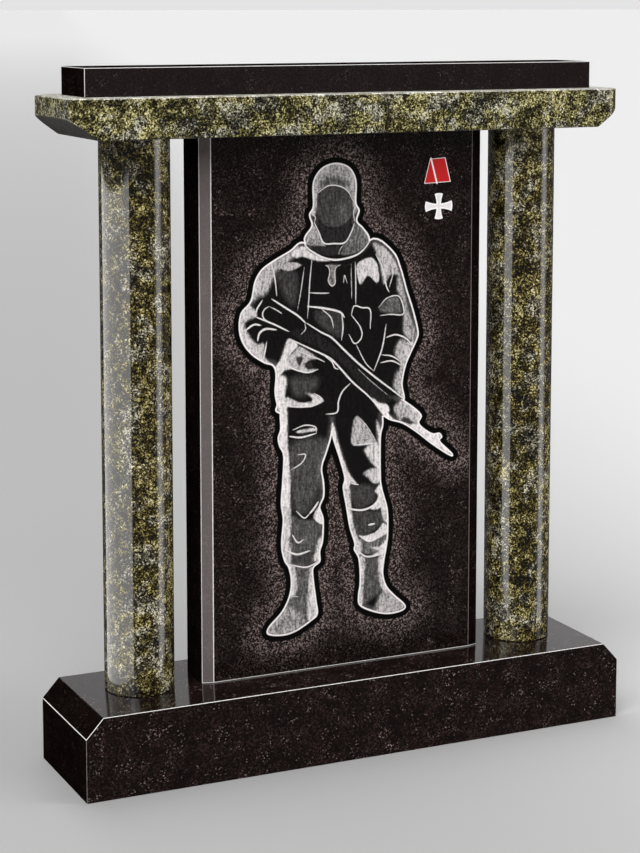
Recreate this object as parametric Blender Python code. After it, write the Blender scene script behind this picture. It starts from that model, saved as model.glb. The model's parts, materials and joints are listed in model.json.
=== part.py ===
"""Granite memorial in the form of a portal.

A chamfered base carries two round columns with an upright stele between them. A lintel lies across all three,
and a narrower cap slab lies on the lintel. Every stone is a separate piece that rests on the one below it.

Units are metres. X runs along the front to the viewer's right, Y runs from the front to the back, and Z is up.
The origin is on the ground, under the middle of the base.
"""

import math

import bmesh
import bpy

# Stele between the columns
STELE_WIDTH = 0.570
STELE_THICKNESS = 0.080
STELE_BEVEL_WIDTH = 0.0205  # across the front face, at each of its upright edges
STELE_BEVEL_DEPTH = 0.006

# Columns
COLUMN_DIAMETER = 0.127
COLUMN_SIDES = 96
SUPPORT_HEIGHT = 1.000  # of the columns and the stele, which carry the lintel together
STELE_GAP = 0.045  # open space between the stele and each column

# Base
BASE_HEIGHT = 0.150
BASE_END_MARGIN = 0.085  # from a column's outer side to the end of the base
BASE_FRONT_LEDGE = 0.073  # from the front of the base to the front of the columns
BASE_BACK_LEDGE = 0.050
BASE_CHAMFER_RUN = 0.032  # along the length, at the top of each end
BASE_CHAMFER_DROP = 0.035

# Lintel
LINTEL_HEIGHT = 0.072
LINTEL_END_MARGIN = 0.090  # from a column's outer side to the end of the lintel
LINTEL_FACE_MARGIN = 0.048  # from a column's front or back to the lintel's face
LINTEL_CHAMFER_RUN = 0.050  # along the length, under each end
LINTEL_CHAMFER_RISE = 0.036
LINTEL_CORNER_RADIUS = 0.030
CORNER_STEPS = 12

# Cap slab
CAP_HEIGHT = 0.050
CAP_END_SETBACK = 0.042  # from the end of the lintel
CAP_FACE_SETBACK = 0.048  # from the lintel's front and back

# All stones
ARRIS = 0.002  # eased edge, measured along each face
ARRIS_ANGLE = math.radians(30)  # only edges that turn by more than this are eased
SEAT_GAP = 0.0003  # left between stones that rest on each other

# Places worked out from the sizes above
COLUMN_RADIUS = COLUMN_DIAMETER / 2
COLUMN_X = STELE_WIDTH / 2 + STELE_GAP + COLUMN_RADIUS
BASE_DEPTH = BASE_FRONT_LEDGE + COLUMN_DIAMETER + BASE_BACK_LEDGE
BASE_HALF_LENGTH = COLUMN_X + COLUMN_RADIUS + BASE_END_MARGIN
AXIS_Y = BASE_FRONT_LEDGE + COLUMN_RADIUS - BASE_DEPTH / 2  # middle plane of all that the base carries
LINTEL_HALF_LENGTH = COLUMN_X + COLUMN_RADIUS + LINTEL_END_MARGIN
LINTEL_HALF_DEPTH = COLUMN_RADIUS + LINTEL_FACE_MARGIN
SUPPORT_Z = BASE_HEIGHT + SEAT_GAP
LINTEL_Z = SUPPORT_Z + SUPPORT_HEIGHT + SEAT_GAP
CAP_Z = LINTEL_Z + LINTEL_HEIGHT + SEAT_GAP


def clear_scene():
    """Remove every object from the scene."""
    for thing in list(bpy.data.objects):
        bpy.data.objects.remove(thing, do_unlink=True)


def stone(name, colour, roughness):
    """Return a polished stone material."""
    material = bpy.data.materials.new(name)
    material.use_nodes = True
    shader = material.node_tree.nodes["Principled BSDF"]
    shader.inputs["Base Color"].default_value = (*colour, 1.0)
    shader.inputs["Roughness"].default_value = roughness
    shader.inputs["Metallic"].default_value = 0.0
    return material


def extruded(outline, travel):
    """Return a bmesh of a closed outline of 3-D points, pushed along a vector into a solid."""
    shape = bmesh.new()
    face = shape.faces.new([shape.verts.new(point) for point in outline])
    pushed = bmesh.ops.extrude_face_region(shape, geom=[face])
    far = [part for part in pushed["geom"] if isinstance(part, bmesh.types.BMVert)]
    bmesh.ops.translate(shape, verts=far, vec=travel)
    bmesh.ops.recalc_face_normals(shape, faces=shape.faces)
    return shape


def cut_away(shape, point, outward):
    """Cut off what lies on the outward side of a plane, and close the cut."""
    everything = list(shape.verts) + list(shape.edges) + list(shape.faces)
    cut = bmesh.ops.bisect_plane(
        shape, geom=everything, plane_co=point, plane_no=outward, clear_outer=True
    )
    rim = [part for part in cut["geom_cut"] if isinstance(part, bmesh.types.BMEdge)]
    bmesh.ops.edgeloop_fill(shape, edges=rim)
    bmesh.ops.recalc_face_normals(shape, faces=shape.faces)


def rectangle(half_length, half_depth):
    """Return the corners of a rectangle around the origin, at Z = 0."""
    return [
        (-half_length, -half_depth, 0),
        (half_length, -half_depth, 0),
        (half_length, half_depth, 0),
        (-half_length, half_depth, 0),
    ]


def rounded_rectangle(half_length, half_depth, radius, steps):
    """Return a rectangle around the origin whose corners are arcs, at Z = 0."""
    outline = []
    for corner, (side_x, side_y) in enumerate(((1, 1), (-1, 1), (-1, -1), (1, -1))):
        centre_x = side_x * (half_length - radius)
        centre_y = side_y * (half_depth - radius)
        for step in range(steps + 1):
            angle = math.pi / 2 * (corner + step / steps)
            outline.append((centre_x + radius * math.cos(angle), centre_y + radius * math.sin(angle), 0))
    return outline


def finish(name, shape, location, material, parent):
    """Make an object of a bmesh, ease its edges and put it in its place."""
    mesh = bpy.data.meshes.new(name)
    shape.to_mesh(mesh)
    shape.free()
    mesh.materials.append(material)
    thing = bpy.data.objects.new(name, mesh)
    bpy.context.scene.collection.objects.link(thing)
    thing.parent = parent
    thing.location = location
    easing = thing.modifiers.new("eased edges", "BEVEL")
    easing.width = ARRIS
    easing.segments = 1
    easing.limit_method = "ANGLE"
    easing.angle_limit = ARRIS_ANGLE
    return thing


def make_base(material, parent):
    """Long block with both ends chamfered at the top."""
    front = -BASE_DEPTH / 2
    shoulder = BASE_HEIGHT - BASE_CHAMFER_DROP
    outline = [
        (-BASE_HALF_LENGTH, front, 0),
        (BASE_HALF_LENGTH, front, 0),
        (BASE_HALF_LENGTH, front, shoulder),
        (BASE_HALF_LENGTH - BASE_CHAMFER_RUN, front, BASE_HEIGHT),
        (-BASE_HALF_LENGTH + BASE_CHAMFER_RUN, front, BASE_HEIGHT),
        (-BASE_HALF_LENGTH, front, shoulder),
    ]
    finish("base_block", extruded(outline, (0, BASE_DEPTH, 0)), (0, 0, 0), material, parent)


def make_column(name, side, material, parent):
    """Round column that stands on the base."""
    shape = bmesh.new()
    bmesh.ops.create_cone(
        shape,
        cap_ends=True,
        segments=COLUMN_SIDES,
        radius1=COLUMN_RADIUS,
        radius2=COLUMN_RADIUS,
        depth=SUPPORT_HEIGHT,
    )
    place = (side * COLUMN_X, AXIS_Y, SUPPORT_Z + SUPPORT_HEIGHT / 2)
    column = finish(name, shape, place, material, parent)
    column.data.shade_smooth()
    column.data.set_sharp_from_angle(angle=ARRIS_ANGLE)


def make_stele(material, parent):
    """Upright slab whose front face falls back at both upright edges."""
    half = STELE_WIDTH / 2
    front = -STELE_THICKNESS / 2
    back = STELE_THICKNESS / 2
    outline = [
        (-half, front + STELE_BEVEL_DEPTH, 0),
        (-half + STELE_BEVEL_WIDTH, front, 0),
        (half - STELE_BEVEL_WIDTH, front, 0),
        (half, front + STELE_BEVEL_DEPTH, 0),
        (half, back, 0),
        (-half, back, 0),
    ]
    finish("stele", extruded(outline, (0, 0, SUPPORT_HEIGHT)), (0, AXIS_Y, SUPPORT_Z), material, parent)


def make_lintel(material, parent):
    """Beam with rounded upright corners, and with both ends chamfered underneath."""
    outline = rounded_rectangle(LINTEL_HALF_LENGTH, LINTEL_HALF_DEPTH, LINTEL_CORNER_RADIUS, CORNER_STEPS)
    shape = extruded(outline, (0, 0, LINTEL_HEIGHT))
    for side in (-1, 1):
        point = (side * LINTEL_HALF_LENGTH, 0, LINTEL_CHAMFER_RISE)
        cut_away(shape, point, (side * LINTEL_CHAMFER_RISE, 0, -LINTEL_CHAMFER_RUN))
    finish("lintel", shape, (0, AXIS_Y, LINTEL_Z), material, parent)


def make_cap(material, parent):
    """Plain slab on the lintel."""
    outline = rectangle(LINTEL_HALF_LENGTH - CAP_END_SETBACK, LINTEL_HALF_DEPTH - CAP_FACE_SETBACK)
    finish("cap_slab", extruded(outline, (0, 0, CAP_HEIGHT)), (0, AXIS_Y, CAP_Z), material, parent)


def main():
    """Model the memorial, from the ground up."""
    clear_scene()
    memorial = bpy.data.objects.new("memorial", None)
    bpy.context.scene.collection.objects.link(memorial)
    make_base(stone("base black gabbro", (0.010, 0.008, 0.009), 0.12), memorial)
    make_column("left_column", -1, stone("left column green granite", (0.115, 0.110, 0.055), 0.15), memorial)
    make_column("right_column", 1, stone("right column green granite", (0.110, 0.106, 0.050), 0.15), memorial)
    make_stele(stone("stele black gabbro", (0.012, 0.009, 0.010), 0.10), memorial)
    make_lintel(stone("lintel green granite", (0.120, 0.115, 0.060), 0.18), memorial)
    make_cap(stone("cap black gabbro", (0.013, 0.011, 0.012), 0.15), memorial)


main()
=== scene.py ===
"""Dressed model of a memorial portal in polished stone.

Six stones stand on each other: a chamfered base, two round columns, an upright stele, a lintel and a
cap slab. Each stone is shaped with Blender's edit tools to the sizes of its CAD node. Its faces are
polished, and pale ground edges stay only where an edge catches the light, as painted highlights. The
columns and the lintel's underside are darkened as painted shade. The stele carries an etched picture
of a soldier whose face is a blank, covered oval, and a painted decoration.

Units are metres, apart from the picture, whose points are millimetres on the stele's front face.
"""

import json
import logging
import math
from collections.abc import Callable
from dataclasses import dataclass, field
from enum import Enum

import bmesh
import bpy
import numpy as np
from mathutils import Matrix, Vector

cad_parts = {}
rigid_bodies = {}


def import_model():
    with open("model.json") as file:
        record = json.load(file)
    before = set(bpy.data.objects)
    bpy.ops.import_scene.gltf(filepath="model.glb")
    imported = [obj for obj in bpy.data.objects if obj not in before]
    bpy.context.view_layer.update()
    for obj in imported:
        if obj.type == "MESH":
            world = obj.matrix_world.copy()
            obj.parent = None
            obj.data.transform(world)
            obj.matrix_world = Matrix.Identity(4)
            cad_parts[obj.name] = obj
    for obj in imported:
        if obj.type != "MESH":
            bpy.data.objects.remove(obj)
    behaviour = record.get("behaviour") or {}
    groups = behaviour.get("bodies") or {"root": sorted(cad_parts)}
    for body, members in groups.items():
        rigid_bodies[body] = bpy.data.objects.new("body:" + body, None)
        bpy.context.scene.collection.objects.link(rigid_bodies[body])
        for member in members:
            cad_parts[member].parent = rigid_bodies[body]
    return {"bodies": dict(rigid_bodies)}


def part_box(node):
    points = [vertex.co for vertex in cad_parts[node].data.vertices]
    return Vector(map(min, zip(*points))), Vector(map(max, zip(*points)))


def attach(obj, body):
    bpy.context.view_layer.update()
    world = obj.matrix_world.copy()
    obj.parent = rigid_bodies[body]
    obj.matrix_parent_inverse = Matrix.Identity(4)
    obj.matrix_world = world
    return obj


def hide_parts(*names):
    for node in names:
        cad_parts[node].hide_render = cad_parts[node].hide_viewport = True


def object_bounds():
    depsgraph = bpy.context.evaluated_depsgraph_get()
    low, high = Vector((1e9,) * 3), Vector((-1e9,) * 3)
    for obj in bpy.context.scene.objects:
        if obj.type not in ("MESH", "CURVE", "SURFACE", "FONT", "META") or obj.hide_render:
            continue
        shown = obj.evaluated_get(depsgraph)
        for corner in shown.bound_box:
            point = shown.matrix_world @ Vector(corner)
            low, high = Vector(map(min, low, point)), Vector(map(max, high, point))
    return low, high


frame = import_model()
CAD_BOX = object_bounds()

BODY = sorted(frame["bodies"])[0]
MILLIMETRE = 0.001
SHARP = math.radians(12)
FLAT = 0.99
TILT = 0.03
HAIR = 1e-5
LOG = logging.getLogger("memorial")

Colour = tuple[float, float, float]
Point = tuple[float, float]
Points = tuple[Point, ...]
FaceTest = Callable[[Vector, Vector], bool]


class Slot(Enum):
    """Material slots of the record."""

    BLACK = "black_gabbro"
    GREEN = "green_granite"


class Skin(Enum):
    """Order of the finishes on a stone's faces."""

    POLISHED = 0
    ARRIS = 1
    HONED = 2
    # Grey satin as a painted sheen on the base and the stele, and darker stone as painted shade under the
    # lintel.
    SATIN = 3
    ETCHED = 4


# Shader graphs


def operator(operation: str, is_swapped: bool = False) -> Callable[["Value", "Term"], "Value"]:
    """Return a method of Value that adds a Math node.

    Args:
        operation: The node's operation.
        is_swapped: Whether the other term comes first.

    Returns:
        The method.
    """

    def apply(self: "Value", other: "Term") -> "Value":
        """Return the node's result."""
        first, second = (other, self) if is_swapped else (self, other)
        return self.graph.node("ShaderNodeMath", {"operation": operation}, {0: first, 1: second})

    return apply


class Value:
    """Output socket of a shader node, on which Python's operators add Math nodes.

    The operator | gives the larger of two terms, and & gives the smaller.
    """

    def __init__(self, graph: "Graph", socket: bpy.types.NodeSocket) -> None:
        """Keep the socket and the graph that it belongs to."""
        self.graph = graph
        self.socket = socket

    __add__ = operator("ADD")
    __radd__ = operator("ADD", is_swapped=True)
    __sub__ = operator("SUBTRACT")
    __rsub__ = operator("SUBTRACT", is_swapped=True)
    __mul__ = operator("MULTIPLY")
    __rmul__ = operator("MULTIPLY", is_swapped=True)
    __pow__ = operator("POWER")
    __rpow__ = operator("POWER", is_swapped=True)
    __or__ = operator("MAXIMUM")
    __and__ = operator("MINIMUM")


Term = Value | float | Colour | tuple


class Graph:
    """Node tree of a material or of the world."""

    def __init__(self, tree: bpy.types.NodeTree) -> None:
        """Keep the tree."""
        self.tree = tree

    @classmethod
    def material(cls, name: str) -> tuple[bpy.types.Material, "Graph"]:
        """Return a new material and the graph of its nodes."""
        made = bpy.data.materials.new(name)
        made.use_nodes = True
        return made, cls(made.node_tree)

    @staticmethod
    def _socket(sockets: bpy.types.bpy_prop_collection, key: int | str) -> bpy.types.NodeSocket:
        """Return the socket at an index, or with an identifier."""
        if isinstance(key, int):
            return sockets[key]
        return next(socket for socket in sockets if key in (socket.identifier, socket.name))

    def feed(self, socket: bpy.types.NodeSocket, term: Term) -> None:
        """Link a value to a socket, or set the socket's own value."""
        if isinstance(term, Value):
            self.tree.links.new(term.socket, socket)
        elif isinstance(term, tuple) and socket.type == "RGBA":
            socket.default_value = (*term, 1.0)
        else:
            socket.default_value = term

    def node(
        self,
        kind: str,
        settings: dict[str, object] | None = None,
        inputs: dict[int | str, Term] | None = None,
        output: int | str = 0,
    ) -> Value:
        """Add a node.

        Args:
            kind: The node's type.
            settings: Properties that are set first. "stops" holds a ramp's positions and colours.
            inputs: Values or links of the sockets, by index or identifier.
            output: Index or identifier of the output.

        Returns:
            The output as a value.
        """
        made = self.tree.nodes.new(kind)
        for key, setting in (settings or {}).items():
            if key == "stops":
                self._set_stops(made.color_ramp, setting)
            else:
                setattr(made, key, setting)
        for key, term in (inputs or {}).items():
            self.feed(self._socket(made.inputs, key), term)
        return Value(self, self._socket(made.outputs, output))

    @staticmethod
    def _set_stops(ramp: bpy.types.ColorRamp, stops: tuple[tuple[float, Colour], ...]) -> None:
        """Give a ramp its positions and colours."""
        while len(ramp.elements) < len(stops):
            ramp.elements.new(1.0)
        for element, (position, colour) in zip(ramp.elements, stops):
            element.position = position
            element.color = (*colour, 1.0)

    def place(self) -> Value:
        """Return the place on the object, in metres."""
        return self.node("ShaderNodeTexCoord", output="Object")

    def attribute(self, name: str) -> Value:
        """Return a number that is stored at the mesh's points."""
        return self.node("ShaderNodeAttribute", {"attribute_name": name}, output="Fac")

    def noise(self, place: Value, scale: float, detail: float = 2.0, rough: float = 0.5) -> Value:
        """Return soft noise from 0 to 1, with a number of cells to the metre."""
        return self.node(
            "ShaderNodeTexNoise",
            inputs={"Vector": place, "Scale": scale, "Detail": detail, "Roughness": rough},
            output="Fac",
        )

    def cells(self, place: Value, scale: float, channel: str = "Red") -> Value:
        """Return a number from 0 to 1 for each crystal, with a number of crystals to the metre."""
        colour = self.node("ShaderNodeTexVoronoi", inputs={"Vector": place, "Scale": scale}, output="Color")
        return self.node("ShaderNodeSeparateColor", inputs={"Color": colour}, output=channel)

    def fade(self, value: Value, start: float, end: float) -> Value:
        """Return 0 at and beyond the start, 1 at and beyond the end, and a smooth slope between them."""
        return self.node(
            "ShaderNodeMapRange",
            {"interpolation_type": "SMOOTHSTEP"},
            {"Value": value, "From Min": start, "From Max": end, "To Min": 0.0, "To Max": 1.0},
        )

    def mix(self, share: Term, first: Term, second: Term) -> Value:
        """Return a colour between two."""
        return self.node(
            "ShaderNodeMix",
            {"data_type": "RGBA"},
            {"Factor_Float": share, "A_Color": first, "B_Color": second},
            "Result_Color",
        )

    def ramp(self, value: Value, stops: tuple[tuple[float, Colour], ...]) -> Value:
        """Return a colour from a row of stops."""
        return self.node("ShaderNodeValToRGB", {"stops": stops}, {"Fac": value}, "Color")

    def bump(self, height: Value, strength: float, distance: float) -> Value:
        """Return a normal that is tilted by a height."""
        return self.node(
            "ShaderNodeBump", inputs={"Strength": strength, "Distance": distance, "Height": height}
        )

    def surface(self, **sockets: Term) -> None:
        """Feed the sockets of the material's shader, with underscores for the spaces in their names."""
        shader = self.tree.nodes["Principled BSDF"]
        for key, term in sockets.items():
            self.feed(shader.inputs[key.replace("_", " ")], term)


# Finishes


@dataclass(frozen=True)
class PolishedGabbro:
    """Black gabbro with a warm cloud and fine flecks of feldspar."""

    name: str = "polished black gabbro"
    dark: Colour = (0.0030, 0.0016, 0.0014)
    warm: Colour = (0.0300, 0.0155, 0.0135)
    fleck: Colour = (0.300, 0.235, 0.220)
    roughness: float = 0.07
    gloss: float = 0.30

    def body(self, graph: Graph, place: Value) -> Value:
        """Return the stone's colour."""
        cloud = graph.fade(graph.noise(place, scale=24, detail=4, rough=0.65), 0.36, 0.66)
        grain = graph.fade(graph.noise(place, scale=300, detail=4, rough=0.75), 0.44, 0.66)
        ground = graph.mix((0.25 + 0.75 * cloud) * grain, self.dark, self.warm)
        cluster = graph.fade(graph.noise(place, scale=42, detail=3, rough=0.7), 0.50, 0.62)
        spark = graph.cells(place, scale=470)
        chip = graph.fade(spark, 0.92 - 0.12 * cloud, 1.0) * (0.10 + 0.90 * cluster)
        return graph.mix(chip * 0.55, ground, self.fleck)

    def make(self) -> bpy.types.Material:
        """Return the material."""
        material, graph = Graph.material(self.name)
        place = graph.place()
        graph.surface(
            Base_Color=self.body(graph, place),
            Roughness=self.roughness + 0.05 * graph.noise(place, scale=30),
            Specular_IOR_Level=self.gloss,
        )
        return material


@dataclass(frozen=True)
class CapGabbro(PolishedGabbro):
    """The same gabbro in the cap slab, from an evener and greyer bed."""

    name: str = "even black gabbro"
    dark: Colour = (0.0090, 0.0058, 0.0062)
    warm: Colour = (0.0190, 0.0122, 0.0126)
    fleck: Colour = (0.085, 0.065, 0.066)


@dataclass(frozen=True)
class HonedGabbro(PolishedGabbro):
    """The same gabbro, ground fine and left without its polish."""

    name: str = "honed black gabbro"
    warm: Colour = (0.0110, 0.0070, 0.0062)
    fleck: Colour = (0.070, 0.055, 0.050)
    roughness: float = 0.50
    gloss: float = 0.0


@dataclass(frozen=True)
class SheenGabbro(PolishedGabbro):
    """The same gabbro in a grey satin, as a painted sheen on the stele's left bevel and on a few edges."""

    name: str = "black gabbro with painted sheen"
    dark: Colour = (0.100, 0.082, 0.081)
    warm: Colour = (0.142, 0.117, 0.115)
    fleck: Colour = (0.17, 0.14, 0.14)
    roughness: float = 0.40
    gloss: float = 0.10


@dataclass(frozen=True)
class GroundEdgeHighlight:
    """Narrow ground edge, where crushed grains turn dark stone pale. It is kept only on edges that catch
    the light, so it is also a painted highlight.
    """

    name: str = "ground edge"
    dark: Colour = (0.36, 0.34, 0.34)
    pale: Colour = (0.66, 0.64, 0.63)
    roughness: float = 0.55

    def make(self) -> bpy.types.Material:
        """Return the material."""
        material, graph = Graph.material(self.name)
        grain = graph.noise(graph.place(), scale=700, detail=3, rough=0.7)
        graph.surface(
            Base_Color=graph.mix(graph.fade(grain, 0.25, 0.55), self.dark, self.pale),
            Roughness=self.roughness,
            Specular_IOR_Level=0.3,
            Normal=graph.bump(grain, 0.3, 0.0003),
        )
        return material


def faded(colour: Colour, share: float = 0.55) -> Colour:
    """Return a colour that is pulled towards its own grey."""
    grey = sum(colour) / 3
    return tuple(part + share * (grey - part) for part in colour)


@dataclass(frozen=True)
class GreenGranite:
    """Dark green granite with patches of yellow-green and grey grain."""

    name: str = "polished green granite"
    black: Colour = (0.0050, 0.0040, 0.0022)
    moss: Colour = (0.030, 0.026, 0.009)
    olive: Colour = (0.110, 0.096, 0.032)
    straw: Colour = (0.340, 0.305, 0.115)
    cream: Colour = (0.68, 0.63, 0.36)
    levels: tuple[float, ...] = (0.30, 0.42, 0.54, 0.66, 0.82)
    depth: float = 0.125
    roughness: float = 0.07
    gloss: float = 0.5

    def make(self) -> bpy.types.Material:
        """Return the material."""
        material, graph = Graph.material(self.name)
        place = graph.place()
        cloud = graph.fade(graph.noise(place, scale=17, detail=3, rough=0.6), 0.36, 0.64)
        patch = graph.fade(graph.noise(place, scale=55, detail=4, rough=0.7), 0.38, 0.62)
        grain = graph.fade(graph.noise(place, scale=330, detail=4, rough=0.85), 0.40, 0.60)
        crystal = graph.cells(place, scale=330, channel="Green")
        tone = 0.15 * cloud + 0.24 * patch + 0.36 * crystal + 0.40 * grain - self.depth
        colours = (self.black, self.moss, self.olive, self.straw, self.cream)
        warm = graph.ramp(tone, tuple(zip(self.levels, colours)))
        grey = graph.ramp(tone, tuple(zip(self.levels, map(faded, colours))))
        share = graph.fade(graph.noise(place, scale=34), 0.47, 0.60)
        graph.surface(
            Base_Color=graph.mix(share, warm, grey),
            Roughness=self.roughness + 0.04 * grain,
            Specular_IOR_Level=self.gloss,
        )
        return material


@dataclass(frozen=True)
class ShadedColumnGranite(GreenGranite):
    """The same granite in the columns, made darker as painted shade."""

    name: str = "deep green granite"
    moss: Colour = (0.034, 0.026, 0.007)
    olive: Colour = (0.126, 0.099, 0.025)
    straw: Colour = (0.360, 0.302, 0.110)
    cream: Colour = (0.74, 0.67, 0.40)
    depth: float = 0.195


@dataclass(frozen=True)
class SawnGranite(GreenGranite):
    """The same granite on the lintel's top, sawn pale and left rough."""

    name: str = "sawn green granite"
    black: Colour = (0.16, 0.15, 0.12)
    moss: Colour = (0.28, 0.265, 0.21)
    olive: Colour = (0.44, 0.42, 0.34)
    straw: Colour = (0.62, 0.60, 0.51)
    cream: Colour = (0.80, 0.78, 0.70)
    roughness: float = 0.60
    gloss: float = 0.3


@dataclass(frozen=True)
class ShadedUnderGranite(GreenGranite):
    """The same granite under the lintel, darker as painted shade, and matte."""

    name: str = "green granite with painted shade underneath"
    black: Colour = (0.020, 0.018, 0.013)
    moss: Colour = (0.032, 0.028, 0.020)
    olive: Colour = (0.044, 0.039, 0.028)
    straw: Colour = (0.060, 0.053, 0.040)
    cream: Colour = (0.090, 0.080, 0.062)
    roughness: float = 0.5
    gloss: float = 0.1


@dataclass(frozen=True)
class EtchedFace(PolishedGabbro):
    """Front of the stele: polished gabbro, etched and painted where the picture's numbers say."""

    name: str = "etched gabbro face"
    warm: Colour = (0.0170, 0.0098, 0.0088)
    fleck: Colour = (0.200, 0.150, 0.138)
    light: Colour = (0.80, 0.755, 0.745)
    dust: Colour = (0.400, 0.305, 0.280)
    black: Colour = (0.0012, 0.0008, 0.0009)
    red: Colour = (0.50, 0.0010, 0.0020)
    white: Colour = (0.84, 0.82, 0.82)
    enamel: Colour = (0.70, 0.655, 0.665)
    border: float = 10.0
    halo: float = 95.0
    ragged: float = 1.8
    rough_etched: float = 0.65

    def make(self) -> bpy.types.Material:
        """Return the material."""
        material, graph = Graph.material(self.name)
        place = graph.place()
        outline = graph.attribute("outline_mm")
        inside = graph.fade(outline, 0.6, -0.6)
        dust = self._dust(graph, place, outline)
        drawn = self._drawn(graph, place, outline) * inside
        ground = graph.mix(inside, self.body(graph, place), self.black)
        ground = graph.mix(graph.fade(outline, self.border + 2.0, self.border), ground, self.black)
        etched = graph.mix(dust * (1.0 - inside), ground, self.dust)
        colour, painted = self._painted(graph, graph.mix(drawn, etched, self.light))
        worked = (drawn | dust | painted) & 1.0
        graph.surface(
            Base_Color=colour,
            Roughness=self.roughness + (self.rough_etched - self.roughness) * worked,
            Specular_IOR_Level=self.gloss,
        )
        return material

    def _dust(self, graph: Graph, place: Value, outline: Value) -> Value:
        """Return how densely the stone round the figure is dotted, from its dark border outwards."""
        crystal = graph.cells(place, scale=420, channel="Blue")
        cloud = graph.fade(graph.noise(place, scale=32, detail=4, rough=0.65), 0.30, 0.70)
        glow = graph.fade(outline, self.halo, self.border) ** 2.4
        grain = graph.noise(place, scale=330, detail=3, rough=0.8)
        speck = graph.fade(0.55 * crystal + 0.45 * grain, 0.50, 0.78)
        dust = speck * (0.006 + 0.05 * cloud + 0.43 * glow) + 0.018 * glow
        return dust * graph.fade(outline, self.border - 0.8, self.border + 1.2)

    def _drawn(self, graph: Graph, place: Value, outline: Value) -> Value:
        """Return how bright the figure is: its lines, its rim and the patches of its cloth."""
        brush = graph.noise(self._streaks(graph, place), scale=150, detail=4, rough=0.7)
        grain = graph.noise(place, scale=210, detail=4, rough=0.75)
        mottle = graph.fade(grain * 0.5 + brush * 0.5, 0.36, 0.64)
        ragged = self.ragged * (brush - 0.5)
        stroke = graph.fade(graph.attribute("line_mm") + ragged, 0.6, -0.8)
        rim = graph.fade(outline + ragged, -4.1, -2.2) * 0.92
        veil = graph.fade(outline, -14.0, -3.0) * 0.08
        tone = graph.attribute("tone")
        bright = graph.fade(tone + 0.5 * (mottle - 0.5), 0.12, 0.80)
        cloth = tone * (0.25 + 0.85 * mottle) * 0.55 + bright * tone * 0.66 + veil * (0.3 + mottle)
        return (stroke * (0.62 + 0.36 * mottle) | rim | cloth) & 1.0

    def _painted(self, graph: Graph, colour: Value) -> tuple[Value, Value]:
        """Return the colour with the decoration painted over it, and where it is painted."""
        ribbon = graph.attribute("ribbon_mm")
        medal = graph.attribute("medal_mm")
        on_ribbon = graph.fade(ribbon, 0.5, -0.5)
        on_medal = graph.fade(medal, 0.5, -0.5)
        colour = graph.mix(on_ribbon, colour, self.white)
        colour = graph.mix(graph.fade(ribbon, -0.5, -1.5), colour, self.red)
        colour = graph.mix(on_medal, colour, self.white)
        colour = graph.mix(graph.fade(medal, -1.8, -3.4), colour, self.enamel)
        return colour, on_ribbon | on_medal

    @staticmethod
    def _streaks(graph: Graph, place: Value) -> Value:
        """Return places squeezed across, so that a noise read there runs in upright streaks."""
        return graph.node("ShaderNodeMapping", inputs={"Vector": place, "Scale": (1.6, 1.0, 0.5)})


# The picture


def smooth_path(points: Points, closed: bool, steps: int = 5) -> np.ndarray:
    """Return a smooth curve through points.

    Args:
        points: The points, in millimetres.
        closed: Whether the curve returns to its first point.
        steps: Pieces between two points.

    Returns:
        The curve as an array of places.
    """
    knots = np.array(points, float)
    if closed:
        knots = np.vstack([knots[-1:], knots, knots[:2]])
    else:
        knots = np.vstack([2 * knots[:1] - knots[1:2], knots, 2 * knots[-1:] - knots[-2:-1]])
    share = np.linspace(0, 1, steps, endpoint=False)[:, None]
    curve = []
    for before, start, end, after in zip(knots, knots[1:], knots[2:], knots[3:]):
        bend = 2 * before - 5 * start + 4 * end - after
        twist = 3 * start - before - 3 * end + after
        curve.append(start + 0.5 * share * ((end - before) + share * (bend + share * twist)))
    curve.append(knots[-2:-1])
    return np.vstack(curve)


def distance(places: np.ndarray, path: np.ndarray, widths: np.ndarray | None = None) -> np.ndarray:
    """Return the distance of places from a path, less the path's half width where that is given."""
    nearest = np.full(len(places), np.inf)
    for index in range(len(path) - 1):
        start = path[index]
        along = path[index + 1] - start
        length = float(along @ along)
        if length == 0:
            continue
        share = np.clip((places - start) @ along / length, 0, 1)
        gap = np.hypot(*(places - start - share[:, None] * along).T)
        if widths is not None:
            gap = gap - (widths[index] + share * (widths[index + 1] - widths[index]))
        np.minimum(nearest, gap, out=nearest)
    return nearest


def is_inside(places: np.ndarray, path: np.ndarray) -> np.ndarray:
    """Return which places lie inside a closed path."""
    inside = np.zeros(len(places), bool)
    for (x0, z0), (x1, z1) in zip(path, path[1:]):
        if z0 == z1:
            continue
        crosses = (z0 > places[:, 1]) != (z1 > places[:, 1])
        inside ^= crosses & (places[:, 0] < x0 + (places[:, 1] - z0) * (x1 - x0) / (z1 - z0))
    return inside


def signed(places: np.ndarray, path: np.ndarray) -> np.ndarray:
    """Return the distance of places from a closed path, which is negative inside."""
    return distance(places, path) * np.where(is_inside(places, path), -1.0, 1.0)


@dataclass(frozen=True)
class Stroke:
    """Etched line that is smooth through its points and thins out towards its ends."""

    width: float
    points: Points
    end_share: float = 0.17
    swell_share: float = 0.23

    def gaps(self, places: np.ndarray) -> np.ndarray:
        """Return the distance of places from the line's edge, which is negative on the line."""
        path = smooth_path(self.points, False)
        share = np.linspace(0, 1, len(path))
        widths = self.width * (self.end_share + self.swell_share * np.sin(np.pi * share) ** 0.5)
        return distance(places, path, widths)


@dataclass(frozen=True)
class Area:
    """Etched patch with a tone from 0, black, to 1, white, and a soft edge."""

    tone: float
    soft: float
    points: Points
    spread: float = 1.4

    def gaps(self, places: np.ndarray) -> np.ndarray:
        """Return the distance of places from the patch's edge, which is negative inside."""
        return signed(places, smooth_path(self.points, True))

    def cover(self, places: np.ndarray) -> np.ndarray:
        """Return how much the patch covers places, from 0 to 1."""
        share = np.clip(0.5 - self.gaps(places) / (self.spread * self.soft), 0, 1)
        return share * share * (3 - 2 * share)


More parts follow.
